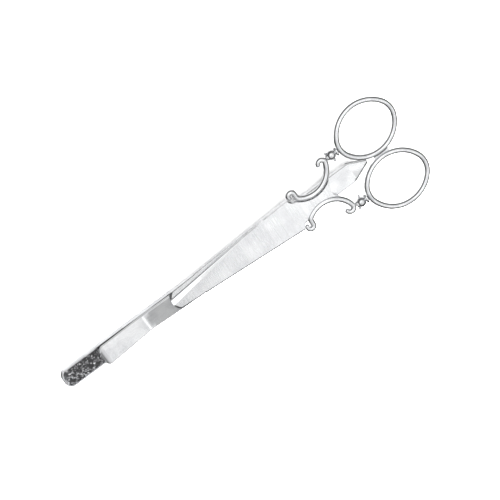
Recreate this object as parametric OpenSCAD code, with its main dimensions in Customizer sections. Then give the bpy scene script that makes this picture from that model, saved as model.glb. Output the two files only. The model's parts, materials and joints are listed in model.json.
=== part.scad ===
// Scissors-shaped spring clip. A pair of jaws, a flat strip and a hinged bar, carries a small pair of
// ornamental scissors on its front. Millimetres. The clip lies on its back, on the bar's tip and the
// thumb pad, with +X towards the finger bows and +Z towards the front.
// The parts are drawn in the clip's own axes, in which the strip is level: X starts at the bar's tip,
// Y is the strip's centre line and Z starts at the strip's underside. laid() tilts them to rest.

/* [Front strip] */
// Where the strip's lead-in lip starts
lip_x = 7.7; // [6.5:0.1:9]
// Where the strip bends to meet the bar
bend_x = 17.9; // [16:0.1:19]
// Where the bent stretch ends and the level stretch begins
level_x = 23.4; // [22.5:0.1:24]
// Where the strip ends, between the bows
strip_end_x = 65.2; // [63:0.1:66]
// Width of the level strip
strip_w = 3.6; // [3.4:0.05:3.9]
// Width at the bend
bend_w = 3.2; // [3:0.05:3.4]
// Width at the lip
lip_w = 3.7; // [3.4:0.05:3.9]
// Sheet thickness of the strip
strip_t = 0.6; // [0.5:0.05:0.7]
// Depth of the side flanges under the strip
flange_h = 0.55; // [0.4:0.05:0.65]

/* [Rear bar] */
// Length of the flat gripping stretch of the bar
bar_l = 25; // [24:0.5:26]
// Width of the bar
bar_w = 3.45; // [3.3:0.05:3.6]
// Height of the bar's walls
bar_h = 1.05; // [0.9:0.05:1.2]
// Width of the bar's rims beside the gripping liner
rim_w = 0.26; // [0.2:0.02:0.3]

/* [Hinge] */
// Place of the hinge pin along the clip
pivot_x = 34.5; // [33.5:0.1:35.5]
// Depth of the hinge pin's axis below the strip
pivot_drop = 1.25; // [1.2:0.05:1.3]
// Radius of the hinge pin
pin_r = 0.35; // [0.3:0.01:0.36]
// Radial clearance of the pin in the moving parts
pin_gap = 0.03; // [0.01:0.01:0.05]
// Radius of the spring wire
wire_r = 0.11; // [0.09:0.01:0.12]

/* [Thumb pad] */
// Length of the thumb pad
pad_l = 10; // [8:0.5:10.5]
// Width of the thumb pad at its free end
pad_w = 2.6; // [2:0.1:2.8]
// Angle of the pad away from the strip
pad_angle = 4.5; // [3:0.5:5]

/* [Scissor blades] */
// Where the blades' blunt tip is
blade_tip_x = 22.9; // [22.5:0.1:24]
// Where the shoulders of the blades are
shoulder_x = 50.6; // [50:0.1:51]
// Width of the blades just behind the tip
tip_w = 3.25; // [3:0.05:3.5]
// Width of the blades at the shoulders
shoulder_w = 6.5; // [6:0.05:7]
// Thickness of each blade plate
blade_t = 0.57; // [0.5:0.01:0.65]
// Angle of the polished bevel
bevel_angle = 20; // [12:1:28]
// Angle at which the scissors sit across the strip
seat_angle = 0.8; // [0:0.1:1.2]

/* [Handles] */
// Radius of the rod in the scroll arms
rod_r = 0.52; // [0.45:0.01:0.54]
// Half the width of the plate between the arms at the waist
waist_half = 0.6; // [0.5:0.05:0.7]
// Half the length of a bow, to the middle of its band
bow_a = 5.75; // [5.4:0.05:6]
// Half the width of a bow, to the middle of its band
bow_b = 4.85; // [4.6:0.05:4.9]
// Width of the bow's band
bow_band = 1.0; // [0.8:0.05:1.1]
// Angle at which each bow turns outwards
bow_tilt = 6; // [0:1:8]

/* [Hidden] */
$fn = 48;
eps = 0.01;
seat = 0.01;

// levels
strip_top = strip_t;
bend_z = -0.4;
lip_rise = 1.2;
lip_curl = 0.3;
plate_top = strip_top + 2 * blade_t;
handle_z = strip_top + rod_r;
liner_t = 0.22;
rim_top = bend_z - 0.02;
liner_top = rim_top;
bar_bottom = rim_top - bar_h;
lever_t = 0.3;
hinge_floor = -2.05;
hinge_bottom = hinge_floor - lever_t;
pad_t = 0.25;
pivot_z = -pivot_drop;

// the lever's tail and the pad under it
tail_x = 36.5;
tail_l = 4.6;
pad_start = 0.8;
pad_end_x = tail_x + (pad_start + pad_l) * cos(pad_angle);
pad_end_z = hinge_bottom - pad_t - (pad_start + pad_l) * sin(pad_angle);
crank_end_x = 31;

// the hinge's stack across the clip, from the middle outwards
ear_in = 0.63;
ear_out = 0.87;
washer_t = 0.1;
bracket_in = ear_out + washer_t + 0.03;
bracket_t = 0.28;
bracket_out = bracket_in + bracket_t;
ear_r = 0.62;
bracket_base = 0.25;
sleeve_t = 0.07;

// scroll arm: one large arc round the waist with a hook at each end
arc_r = 4.7;
arc_x = 54.2;
arc_y = waist_half + rod_r + arc_r + 0.03;
arc_start = -125;
arc_stop = -15;
neck_r = 0.9;
inner_hook_r = 0.56;
outer_hook_r = 0.7;
neck = [arc_x, arc_y] + (arc_r - neck_r) * [cos(arc_start), sin(arc_start)];
outer_hook = [arc_x, arc_y] + (arc_r - outer_hook_r) * [cos(arc_stop), sin(arc_stop)];
inner_hook = [neck[0] - neck_r - inner_hook_r, 3.3];
rod_clear = rod_r + 0.03;
arm_sides = 12;

// knops and bows
knop_x = 59.3;
knop_y = 5.15;
knop_l = 2.3;
ball_x = 1;
ball_r = 0.9;
bow_x = 67.9;
bow_y = 5.45;
bow_h = 1.05;
bow_end_r = 3.6;
seat_x = 60;

// how the clip lies
lie_angle = atan((bar_bottom - pad_end_z) / pad_end_x);
overall_l = bow_x + bow_a + bow_band / 2;

// ---- placing and drawing helpers ----

// From the clip's own axes to the way it lies on a table
module laid() {
    translate([-overall_l / 2, 0, -bar_bottom * cos(lie_angle)])
        rotate([0, -lie_angle, 0]) children();
}

// The scissors' seat on the strip, turned slightly across it
module seated() {
    laid() translate([seat_x, 0, 0]) rotate([0, 0, -seat_angle]) translate([-seat_x, 0, 0]) children();
}

// A side profile in X and Z, as wide as w across the clip
module across(w) {
    rotate([90, 0, 0]) linear_extrude(w, center = true) children();
}

// A cylinder across the clip on the hinge's axis, from y0 to y1
module on_axis(y0, y1, r) {
    translate([pivot_x, y1, pivot_z]) rotate([90, 0, 0]) cylinder(r = r, h = y1 - y0);
}

// The same piece on both sides of the clip
module both_sides() {
    for (s = [0, 1]) mirror([0, s, 0]) children();
}

// A plate of sheet t thick that follows the lower line given as [x, z] points
module sheet_line(points, t, w) {
    across(w) polygon(concat(points, [for (i = [len(points) - 1:-1:0]) points[i] + [0, t]]));
}

// Direction of a path at its point i
function heading(path, i) =
    let (a = path[max(i - 1, 0)], b = path[min(i + 1, len(path) - 1)]) (b - a) / norm(b - a);

// Ring of n points round a path's point i, square to the path; up is square to the path's plane
function ring(path, i, r, n, up) =
    let (d = heading(path, i), side = cross(up, d), u = side / norm(side), v = cross(d, u))
    [for (k = [0:n - 1]) path[i] + r * (cos(360 * k / n) * u + sin(360 * k / n) * v)];

// A round rod along a path, with a radius at each point
module rod(path, radii, n, up) {
    last = len(path) - 1;
    points = [for (i = [0:last]) each ring(path, i, radii[i], n, up)];
    walls = [for (i = [0:last - 1], k = [0:n - 1])
        [i * n + k, i * n + (k + 1) % n, (i + 1) * n + (k + 1) % n, (i + 1) * n + k]];
    start_cap = [[for (k = [n - 1:-1:0]) k]];
    end_cap = [[for (k = [0:n - 1]) last * n + k]];
    polyhedron(points, concat(walls, start_cap, end_cap));
}

// Extra points and radii that round off both ends of a rod
dome = [30, 55, 75];
function rounded_path(path, radii) =
    let (last = len(path) - 1, d0 = heading(path, 0), d1 = heading(path, last))
    concat([for (i = [2:-1:0]) path[0] - d0 * radii[0] * sin(dome[i])], path,
           [for (a = dome) path[last] + d1 * radii[last] * sin(a)]);
function rounded_radii(radii) =
    let (last = len(radii) - 1)
    concat([for (i = [2:-1:0]) radii[0] * cos(dome[i])], radii, [for (a = dome) radii[last] * cos(a)]);

// ---- front strip ----

strip_line = [
    [lip_x, bend_z + lip_rise + lip_curl], [lip_x + 0.8, bend_z + lip_rise - 0.05],
    [bend_x - 0.6, bend_z + 0.06], [bend_x, bend_z], [bend_x + 0.6, bend_z + 0.03],
    [level_x, 0], [strip_end_x, 0]
];

module strip_plan() {
    corner = 0.9;
    for (s = [-1, 1]) translate([lip_x + corner, s * (lip_w / 2 - corner)]) circle(corner);
    translate([lip_x, corner - lip_w / 2]) square([corner, lip_w - 2 * corner]);
    polygon([
        [lip_x + corner, lip_w / 2], [bend_x, bend_w / 2], [level_x + 6, strip_w / 2],
        [strip_end_x - 3.4, strip_w / 2], [strip_end_x, 0.3], [strip_end_x, -0.3],
        [strip_end_x - 3.4, -strip_w / 2], [level_x + 6, -strip_w / 2],
        [bend_x, -bend_w / 2], [lip_x + corner, -lip_w / 2]
    ]);
}

flange_t = 0.28;
flange_start = 37.5;
flange_end = strip_end_x - 3.8;

module front_strip() {
    color("gainsboro") laid() difference() {
        union() {
            intersection() {
                sheet_line(strip_line, strip_t, lip_w + 1);
                translate([0, 0, -5]) linear_extrude(10) strip_plan();
            }
            both_sides() translate([0, strip_w / 2 - flange_t / 2, 0]) across(flange_t) polygon([
                [flange_start, eps], [flange_start + 0.6, -flange_h],
                [flange_end - 0.6, -flange_h], [flange_end, eps]
            ]);
        }
        rivet_holes(rivet_r + seat);
    }
}

// ---- rivets ----

rivet_r = 0.45;
rivet_xs = [29, 50];

module rivet_holes(r) {
    for (x = rivet_xs) translate([x, 0, -1]) cylinder(r = r, h = strip_top + blade_t + 1 + seat);
}

module blade_rivets() {
    color("silver") laid() for (x = rivet_xs) translate([x, 0, 0]) {
        translate([0, 0, -0.2]) cylinder(r = 0.75, h = 0.2 - seat);
        translate([0, 0, -0.1]) cylinder(r = rivet_r, h = strip_top + blade_t + 0.1 - seat);
    }
}

// ---- blades ----

edge_meet_x = 43.6;
edge_tip_y = 0.75;
bevel_tip_y = -0.4;

function half_width(x) = (tip_w + (shoulder_w - tip_w) * (x - blade_tip_x) / (shoulder_x - blade_tip_x)) / 2;

// Outline of a blade plate: blunt rounded tip, straight flanks, and a waist between the arms
module blade_plan() {
    tip_round = 2.1;
    tip_half = half_width(blade_tip_x);
    shoulder_half = half_width(shoulder_x);
    waist_cut = 2.2;
    waist_end = 57.6;
    difference() {
        intersection() {
            polygon([
                [blade_tip_x, tip_half], [shoulder_x, shoulder_half], [shoulder_x, waist_cut],
                [waist_end, waist_cut], [waist_end, -waist_cut], [shoulder_x, -waist_cut],
                [shoulder_x, -shoulder_half], [blade_tip_x, -tip_half]
            ]);
            union() {
                translate([blade_tip_x + tip_round, 0]) circle(tip_round);
                translate([blade_tip_x + tip_round - 0.3, -1.9]) square([40, 3.8]);
                translate([blade_tip_x + 6, -10]) square([40, 20]);
            }
        }
        for (s = [-1, 1]) {
            translate([arc_x, s * arc_y]) circle(arc_r + rod_clear);
            translate([inner_hook[0], s * inner_hook[1]]) circle(inner_hook_r + rod_clear);
            translate([neck[0], s * neck[1]]) circle(neck_r + rod_clear);
            translate([inner_hook[0], s * neck[1] - (s < 0 ? 1 : 0)]) square([2, 1]);
        }
        translate([waist_end + 1.3, 0]) circle(2.1);
    }
}

module back_blade() {
    color("silver") seated() difference() {
        translate([0, 0, strip_top]) linear_extrude(blade_t - seat) blade_plan();
        translate([seat_x, 0, 0]) rotate([0, 0, seat_angle]) translate([-seat_x, 0, 0])
            rivet_holes(rivet_r + seat);
    }
}

// Everything to the left of the line from [x0, y0] to [x1, y1], seen from the front
module left_of(x0, y0, x1, y1) {
    angle = atan2(y1 - y0, x1 - x0);
    translate([x0, y0]) rotate(angle) translate([-20, 0]) square([20 + norm([x1 - x0, y1 - y0]), 20]);
}

module front_blade() {
    meet_y = half_width(edge_meet_x);
    bevel_dir = atan2(meet_y - bevel_tip_y, edge_meet_x - blade_tip_x - 1);
    color("gainsboro") seated() difference() {
        translate([0, 0, strip_top + blade_t]) linear_extrude(blade_t) difference() {
            blade_plan();
            left_of(blade_tip_x + 1, edge_tip_y, edge_meet_x, meet_y);
        }
        translate([blade_tip_x + 1, bevel_tip_y, plate_top]) rotate([0, 0, bevel_dir])
            rotate([-bevel_angle, 0, 0]) translate([-5, 0, 0]) cube([25.8, 5, 2]);
    }
}

// ---- scroll arms ----

// Points along an arc round c, without its first point
function arc_points(c, r, from, to, n) =
    [for (i = [1:n]) let (a = from + (to - from) * i / n) [c[0] + r * cos(a), c[1] + r * sin(a), 0]];

// Middle of the left arm's rod, from its inner hook round the waist to its outer hook
arm_path = concat(
    arc_points(inner_hook, inner_hook_r, 215, 0, 14),
    arc_points(neck, neck_r, 180, 360 + arc_start, 6),
    arc_points([arc_x, arc_y], arc_r, arc_start, arc_stop, 22),
    arc_points(outer_hook, outer_hook_r, arc_stop, 165, 14)
);

// The rod is thinner towards both ends
function arm_radius(t) = rod_r * (1 - 0.22 * pow(abs(2 * t - 1), 6));

module scroll_arm() {
    n = len(arm_path);
    radii = [for (i = [0:n - 1]) arm_radius(i / (n - 1))];
    translate([0, 0, handle_z])
        rod(rounded_path(arm_path, radii), rounded_radii(radii), arm_sides, [0, 0, 1]);
}

module left_scroll_arm() {
    color("whitesmoke") seated() scroll_arm();
}

module right_scroll_arm() {
    color("whitesmoke") seated() mirror([0, 1, 0]) scroll_arm();
}

// ---- knops ----

// A turned knop: neck, ball and a thin disc against the bow
module knop() {
    translate([knop_x, knop_y, handle_z]) rotate([0, 90, 0]) {
        cylinder(r = 0.42, h = knop_l);
        translate([0, 0, 0.1]) cylinder(r = 0.6, h = 0.22);
        translate([0, 0, ball_x]) sphere(ball_r);
        translate([0, 0, knop_l - 0.36]) cylinder(r = 0.86, h = 0.3);
    }
}

module left_knop() {
    color("whitesmoke") seated() knop();
}

module right_knop() {
    color("whitesmoke") seated() mirror([0, 1, 0]) knop();
}

// Small beads on the knop's ball, one towards the clip's middle and one outwards, on each side
module knop_beads() {
    bead_r = 0.25;
    color("white") seated() both_sides() for (angle = [-82, 132])
        translate([knop_x + ball_x, knop_y, handle_z]) rotate([0, 0, angle])
            translate([ball_r + bead_r + seat, 0, 0]) sphere(bead_r);
}

// ---- bows ----

// Section of the band: flat faces with rounded edges
module band_section(grow) {
    intersection() {
        square([bow_band + 2 * grow, bow_h + 2 * grow], center = true);
        circle(0.62 + grow);
    }
}

// An oval ring of four arcs, half a long and half b wide to the middle of its band
module oval_ring(a, b, end_r, grow) {
    side_r = (pow(a - end_r, 2) + b * b - end_r * end_r) / (2 * (b - end_r));
    join = atan2(side_r - b, a - end_r);
    for (s = [0, 180]) rotate([0, 0, s]) {
        translate([a - end_r, 0, 0]) rotate([0, 0, -join])
            rotate_extrude(angle = 2 * join) translate([end_r, 0]) band_section(grow);
        translate([0, b - side_r, 0]) rotate([0, 0, join])
            rotate_extrude(angle = 180 - 2 * join) translate([side_r, 0]) band_section(grow);
    }
}

module bow(grow) {
    translate([bow_x, bow_y, handle_z]) rotate([0, 0, bow_tilt]) oval_ring(bow_a, bow_b, bow_end_r, grow);
}

module left_bow() {
    color("whitesmoke") seated() bow(0);
}

module right_bow() {
    color("whitesmoke") seated() mirror([0, 1, 0]) bow(0);
}

module bow_bridge() {
    bridge_l = 3;
    bridge_h = 0.7;
    color("white") seated() difference() {
        translate([bow_x - bridge_l / 2, -bow_band / 2, handle_z - bridge_h / 2])
            cube([bridge_l, bow_band, bridge_h]);
        both_sides() bow(seat);
    }
}

// ---- hinge ----

module pivot_bracket() {
    foot = 1.5;
    color("silver") laid() difference() {
        union() {
            translate([pivot_x - foot, -bracket_out, -bracket_base - seat])
                cube([2 * foot, 2 * bracket_out, bracket_base]);
            both_sides() translate([0, (bracket_in + bracket_out) / 2, 0]) across(bracket_t) {
                translate([pivot_x, pivot_z]) circle(0.75);
                polygon([
                    [pivot_x - foot, -seat], [pivot_x - 0.75, pivot_z],
                    [pivot_x + 0.75, pivot_z], [pivot_x + foot, -seat]
                ]);
            }
        }
        on_axis(-3, 3, pin_r + seat);
    }
}

module pivot_pin() {
    head_r = 0.55;
    head_t = 0.2;
    color("silver") laid() {
        on_axis(-bracket_out - seat, bracket_out + seat, pin_r);
        on_axis(bracket_out + seat, bracket_out + head_t, head_r);
        on_axis(-bracket_out - head_t, -bracket_out - seat, head_r);
    }
}

module pin_washers() {
    start = ear_out + 0.015;
    color("silver") laid() difference() {
        both_sides() on_axis(start, start + washer_t, ear_r - 0.04);
        on_axis(-3, 3, pin_r + pin_gap);
    }
}

module spring_sleeve() {
    color("silver") laid() difference() {
        on_axis(-ear_in + 0.02, ear_in - 0.02, pin_r + pin_gap + sleeve_t);
        on_axis(-3, 3, pin_r + pin_gap);
    }
}

// ---- torsion spring ----

coil_turns = 3.5;
coil_r = pin_r + pin_gap + sleeve_t + wire_r + 0.04;
coil_half = ear_in - wire_r - 0.03;
steps_per_turn = 16;
wire_sides = 8;
upper_leg = [5.2, -wire_r - 0.03];
lower_leg = [5.4, hinge_floor - (5.4 + pivot_x - tail_x) * sin(pad_angle) + wire_r + 0.05];

// Middle of the wire in the coil, a part t of the way from the upper leg to the lower leg
function coil_point(t) =
    let (angle = 90 + 360 * coil_turns * t)
    [pivot_x + coil_r * cos(angle), coil_half * (2 * t - 1), pivot_z + coil_r * sin(angle)];

coil_steps = coil_turns * steps_per_turn;
wire_path = concat(
    [[pivot_x + upper_leg[0], -coil_half, upper_leg[1]]],
    [for (i = [0:coil_steps]) coil_point(i / coil_steps)],
    [[pivot_x + lower_leg[0], coil_half, lower_leg[1]]]
);

module torsion_spring() {
    color("lightsteelblue") laid()
        rod(wire_path, [for (p = wire_path) wire_r], wire_sides, [0, 1, 0]);
}

// ---- lever ----

// Plan of the whole lever: rounded tip, full width along the grip, narrow at the hinge
module lever_plan() {
    corner = 1.1;
    for (s = [-1, 1]) translate([corner, s * (bar_w / 2 - corner)]) circle(corner);
    translate([0, corner - bar_w / 2]) square([corner, bar_w - 2 * corner]);
    polygon([
        [corner, bar_w / 2], [bar_l, bar_w / 2], [crank_end_x, ear_out], [tail_x + 6, ear_out],
        [tail_x + 6, -ear_out], [crank_end_x, -ear_out], [bar_l, -bar_w / 2], [corner, -bar_w / 2]
    ]);
}

module liner_plan(shrink) {
    inset = rim_w + shrink;
    corner = 1;
    for (s = [-1, 1]) translate([inset + corner, s * (bar_w / 2 - inset - corner)]) circle(corner);
    translate([inset, corner + inset - bar_w / 2]) square([corner, bar_w - 2 * (corner + inset)]);
    translate([inset + corner, inset - bar_w / 2])
        square([bar_l - 1 - inset - corner - shrink, bar_w - 2 * inset]);
}

module lever_ear() {
    translate([0, (ear_in + ear_out) / 2, 0]) across(ear_out - ear_in) {
        translate([pivot_x, pivot_z]) circle(ear_r);
        polygon([
            [pivot_x - 1.6, hinge_floor - 0.1], [pivot_x - ear_r, pivot_z],
            [pivot_x + ear_r, pivot_z], [pivot_x + 1.6, hinge_floor - 0.1]
        ]);
    }
}

module rear_bar() {
    color("silver") laid() difference() {
        union() {
            intersection() {
                across(bar_w + 1) polygon([
                    [0, bar_bottom], [bar_l, bar_bottom], [crank_end_x, hinge_bottom],
                    [tail_x, hinge_bottom],
                    [tail_x + tail_l * cos(pad_angle), hinge_bottom - tail_l * sin(pad_angle)],
                    [tail_x + tail_l * cos(pad_angle), hinge_floor - tail_l * sin(pad_angle)],
                    [tail_x, hinge_floor], [crank_end_x, hinge_floor],
                    [bar_l + 1.2, rim_top - 0.25], [bar_l, rim_top], [0, rim_top]
                ]);
                translate([0, 0, -6]) linear_extrude(8) lever_plan();
            }
            both_sides() lever_ear();
        }
        translate([0, 0, liner_top - liner_t]) linear_extrude(3) liner_plan(0);
        on_axis(-3, 3, pin_r + pin_gap);
    }
}

module grip_liner() {
    color("dimgray") laid()
        translate([0, 0, liner_top - liner_t + seat]) linear_extrude(liner_t - seat) liner_plan(0.02);
}

module thumb_pad() {
    end_r = pad_w / 2;
    arc_steps = 12;
    color("silver") laid() translate([tail_x, 0, hinge_bottom]) rotate([0, pad_angle, 0])
        translate([pad_start, 0, -pad_t]) linear_extrude(pad_t - seat) polygon(concat(
            [[0, -ear_out], [4, -end_r]],
            [for (i = [0:arc_steps]) let (a = 180 * i / arc_steps - 90)
                [pad_l - end_r + end_r * cos(a), end_r * sin(a)]],
            [[4, end_r], [0, ear_out]]
        ));
}

front_strip();
back_blade();
front_blade();
left_scroll_arm();
right_scroll_arm();
left_knop();
right_knop();
knop_beads();
left_bow();
right_bow();
bow_bridge();
blade_rivets();
pivot_bracket();
pivot_pin();
pin_washers();
torsion_spring();
rear_bar();
thumb_pad();
grip_liner();
spring_sleeve();
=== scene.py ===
"""Finished looks of a scissors-shaped spring tie clip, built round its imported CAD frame.

Pieces are shaped in millimetres in the clip's own axes, in which the strip is level: X runs from the
bar's tip to the finger bows, Y across the clip and Z up from the strip's underside. Each finished piece
is then laid down in metres, where the frame has the CAD node that it stands for.
"""

import json
import logging
import math
from collections.abc import Callable, Iterator
from contextlib import contextmanager
from dataclasses import dataclass
from enum import Enum

import bpy
from mathutils import Matrix, Vector


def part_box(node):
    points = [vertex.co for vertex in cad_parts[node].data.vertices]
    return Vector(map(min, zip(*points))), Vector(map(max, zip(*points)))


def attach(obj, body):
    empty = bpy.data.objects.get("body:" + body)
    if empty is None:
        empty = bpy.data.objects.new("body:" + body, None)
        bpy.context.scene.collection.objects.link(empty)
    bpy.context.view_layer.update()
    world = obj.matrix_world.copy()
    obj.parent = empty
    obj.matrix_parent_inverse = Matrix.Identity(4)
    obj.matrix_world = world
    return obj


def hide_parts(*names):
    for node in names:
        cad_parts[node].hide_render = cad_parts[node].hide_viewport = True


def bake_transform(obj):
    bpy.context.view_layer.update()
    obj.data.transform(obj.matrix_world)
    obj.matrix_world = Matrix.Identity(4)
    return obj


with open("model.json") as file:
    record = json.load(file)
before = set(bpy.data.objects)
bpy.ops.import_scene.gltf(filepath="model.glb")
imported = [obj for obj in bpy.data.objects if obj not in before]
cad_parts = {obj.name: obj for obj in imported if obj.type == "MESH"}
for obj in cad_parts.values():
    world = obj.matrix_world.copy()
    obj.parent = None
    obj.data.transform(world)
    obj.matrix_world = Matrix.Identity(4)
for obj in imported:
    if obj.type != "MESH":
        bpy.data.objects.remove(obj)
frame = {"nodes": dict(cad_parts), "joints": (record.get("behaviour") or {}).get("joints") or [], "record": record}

LOG = logging.getLogger("tie_clip")
MM = 0.001
# Corners closer together than this, in millimetres, become one.
MERGE_WITHIN = 0.0005
# How far an edge may be from a height or a line, in millimetres, and still count as lying on it.
NEAR = 0.02
# The steepest direction, as the rise of a unit length, of an edge that counts as level.
LEVEL = 0.1
# Faces that meet at less than this, in degrees, are shaded as one.
SMOOTH_BELOW = 32
# Middle of the hinge pin in the clip's axes, in millimetres.
PIVOT = (34.5, 0.0, -1.25)
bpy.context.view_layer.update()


class Body(Enum):
    """The two bodies of the clip: the strip with the scissors, and the lever behind it."""

    FRONT = "front"
    LEVER = "lever"


class Slot(Enum):
    """The record's material slots."""

    STRIP = "plated_strip"
    BLADE = "blade_satin"
    HANDLE = "polished_handle"
    PIN = "pin_steel"
    SPRING = "spring_steel"
    BAR = "plated_bar"
    LINER = "pebbled_liner"


class Pick(Enum):
    """What an edit-mode selection holds."""

    CORNERS = "VERT"
    EDGES = "EDGE"
    FACES = "FACE"


class Grain(Enum):
    """Which way a brushed finish runs: the stretch of its noise along X, Y and Z."""

    NONE = (1.0, 1.0, 1.0)
    ACROSS = (1.0, 0.04, 0.04)
    ALONG = (0.02, 1.0, 1.0)


# ---- modelling ----


def deselect() -> None:
    """Clears the selection, because an operator acts on all that is selected."""
    bpy.ops.object.select_all(action="DESELECT")


def make_active(piece: bpy.types.Object) -> None:
    """Selects one piece alone and makes it the active one."""
    deselect()
    piece.select_set(True)
    bpy.context.view_layer.objects.active = piece


def start(name: str, add: Callable, **place: object) -> bpy.types.Object:
    """Adds a primitive to shape.

    Args:
        name: the piece's name.
        add: the operator that adds the primitive.
        place: its size and place, in millimetres and radians.

    Returns:
        The new object, with its place applied to its mesh.
    """
    deselect()
    add(**place)
    piece = bpy.context.object
    piece.name = name
    bpy.ops.object.transform_apply(location=True, rotation=True, scale=True)
    return piece


@contextmanager
def shaping(piece: bpy.types.Object) -> Iterator[None]:
    """Opens a piece in edit mode with everything selected, and closes it with its faces pointing outwards."""
    make_active(piece)
    bpy.ops.object.mode_set(mode="EDIT")
    bpy.ops.mesh.select_mode(type=Pick.CORNERS.value)
    bpy.ops.mesh.select_all(action="SELECT")
    yield
    bpy.ops.mesh.select_all(action="SELECT")
    bpy.ops.mesh.normals_make_consistent(inside=False)
    bpy.ops.object.mode_set(mode="OBJECT")


def choose(piece: bpy.types.Object, kind: Pick, test: Callable[[Vector, Vector], bool]) -> None:
    """Selects parts of a piece that is in edit mode.

    Args:
        piece: the piece.
        kind: whether corners, edges or faces are picked.
        test: takes the part's middle and its normal (a corner's or face's) or direction (an edge's).
    """
    bpy.ops.mesh.select_mode(type=kind.value)
    bpy.ops.mesh.select_all(action="DESELECT")
    bpy.ops.object.mode_set(mode="OBJECT")
    mesh = piece.data
    if kind is Pick.CORNERS:
        for corner in mesh.vertices:
            corner.select = test(corner.co, corner.normal)
    elif kind is Pick.EDGES:
        for edge in mesh.edges:
            a, b = (mesh.vertices[i].co for i in edge.vertices)
            edge.select = test((a + b) / 2, (b - a).normalized())
    else:
        for face in mesh.polygons:
            face.select = test(face.center, face.normal)
    bpy.ops.object.mode_set(mode="EDIT")


def resize_all(piece: bpy.types.Object, size: tuple, middle: tuple) -> None:
    """Stretches a unit primitive to its size and moves it to its place.

    Args:
        piece: a primitive of size 1 at the origin.
        size: its size along X, Y and Z.
        middle: where its middle goes.
    """
    with shaping(piece):
        bpy.ops.transform.resize(value=size, center_override=(0, 0, 0))
        bpy.ops.transform.translate(value=middle)


def apply_modifier(piece: bpy.types.Object, kind: str, **settings: object) -> None:
    """Adds a modifier with its settings and applies it."""
    make_active(piece)
    modifier = piece.modifiers.new(kind.lower(), kind)
    for key, value in settings.items():
        setattr(modifier, key, value)
    bpy.ops.object.modifier_apply(modifier=modifier.name)


def round_edges(piece: bpy.types.Object, radius: float, segments: int = 3, above: float = 35) -> None:
    """Rounds every edge sharper than an angle, as polishing does.

    Args:
        piece: the piece.
        radius: how far the rounding reaches on each side of an edge.
        segments: faces across the rounding.
        above: the smallest angle, in degrees, that is rounded.
    """
    apply_modifier(
        piece, "BEVEL", width=radius, segments=segments, limit_method="ANGLE",
        angle_limit=math.radians(above), use_clamp_overlap=False, harden_normals=False,
    )


def join_solid(piece: bpy.types.Object, tool: bpy.types.Object, operation: str = "UNION") -> None:
    """Adds a second solid to a piece, or cuts it away with operation DIFFERENCE, and removes the tool."""
    apply_modifier(piece, "BOOLEAN", object=tool, operation=operation, solver="EXACT")
    bpy.data.objects.remove(tool)


def add_part(piece: bpy.types.Object, part: bpy.types.Object) -> None:
    """Adds a closed part to a piece, so that both are one object."""
    make_active(piece)
    part.select_set(True)
    bpy.ops.object.join()


def bevel_edges(
    piece: bpy.types.Object, reach: float, segments: int, test: Callable[[Vector, Vector], bool]
) -> None:
    """Bevels the edges that a test picks.

    Args:
        piece: the piece.
        reach: how far the bevel reaches on each side of an edge.
        segments: faces across the bevel, of which a chamfer has one.
        test: takes an edge's middle and its direction.
    """
    with shaping(piece):
        choose(piece, Pick.EDGES, test)
        bpy.ops.mesh.bevel(offset=reach, segments=segments, affect="EDGES", clamp_overlap=False)


def put(piece: bpy.types.Object, turn: float, place: tuple | Vector) -> None:
    """Turns a piece about Z, in radians, moves it, and applies both to its mesh."""
    piece.rotation_euler = (0, 0, turn)
    piece.location = place
    make_active(piece)
    bpy.ops.object.transform_apply(location=True, rotation=True, scale=True)


@dataclass(frozen=True)
class Station:
    """One upright section of a swept plate.

    Attributes:
        x: place along the clip.
        low: height of the underside.
        width: size across the clip.
        thick: height of the section.
    """

    x: float
    low: float
    width: float
    thick: float

    def middle(self) -> Vector:
        """Middle of the section."""
        return Vector((self.x, 0, self.low + self.thick / 2))


def swept_plate(name: str, stations: list[Station]) -> bpy.types.Object:
    """Draws a plate out through its stations, one extrusion after another.

    Args:
        name: the piece's name.
        stations: the sections, in order along X.

    Returns:
        A closed solid.
    """
    first = stations[0]
    piece = start(name, bpy.ops.mesh.primitive_plane_add, size=1, rotation=(0, -math.pi / 2, 0))
    with shaping(piece):
        bpy.ops.transform.resize(value=(1, first.width, first.thick), center_override=(0, 0, 0))
        bpy.ops.transform.translate(value=first.middle())
        for a, b in zip(stations, stations[1:]):
            bpy.ops.mesh.extrude_region_move(TRANSFORM_OT_translate={"value": b.middle() - a.middle()})
            bpy.ops.transform.resize(
                value=(1, b.width / a.width, b.thick / a.thick), center_override=b.middle()
            )
    return piece


def traced_line(name: str, points: list[Vector]) -> bpy.types.Object:
    """Draws an open line of edges, corner by corner, from a plane that is merged to one corner."""
    line = start(name, bpy.ops.mesh.primitive_plane_add, size=0.1)
    make_active(line)
    bpy.ops.object.mode_set(mode="EDIT")
    bpy.ops.mesh.select_mode(type=Pick.CORNERS.value)
    bpy.ops.mesh.select_all(action="SELECT")
    bpy.ops.mesh.merge(type="CENTER")
    bpy.ops.transform.translate(value=points[0])
    for a, b in zip(points, points[1:]):
        bpy.ops.mesh.extrude_vertices_move(TRANSFORM_OT_translate={"value": b - a})
    bpy.ops.object.mode_set(mode="OBJECT")
    return line


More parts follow.
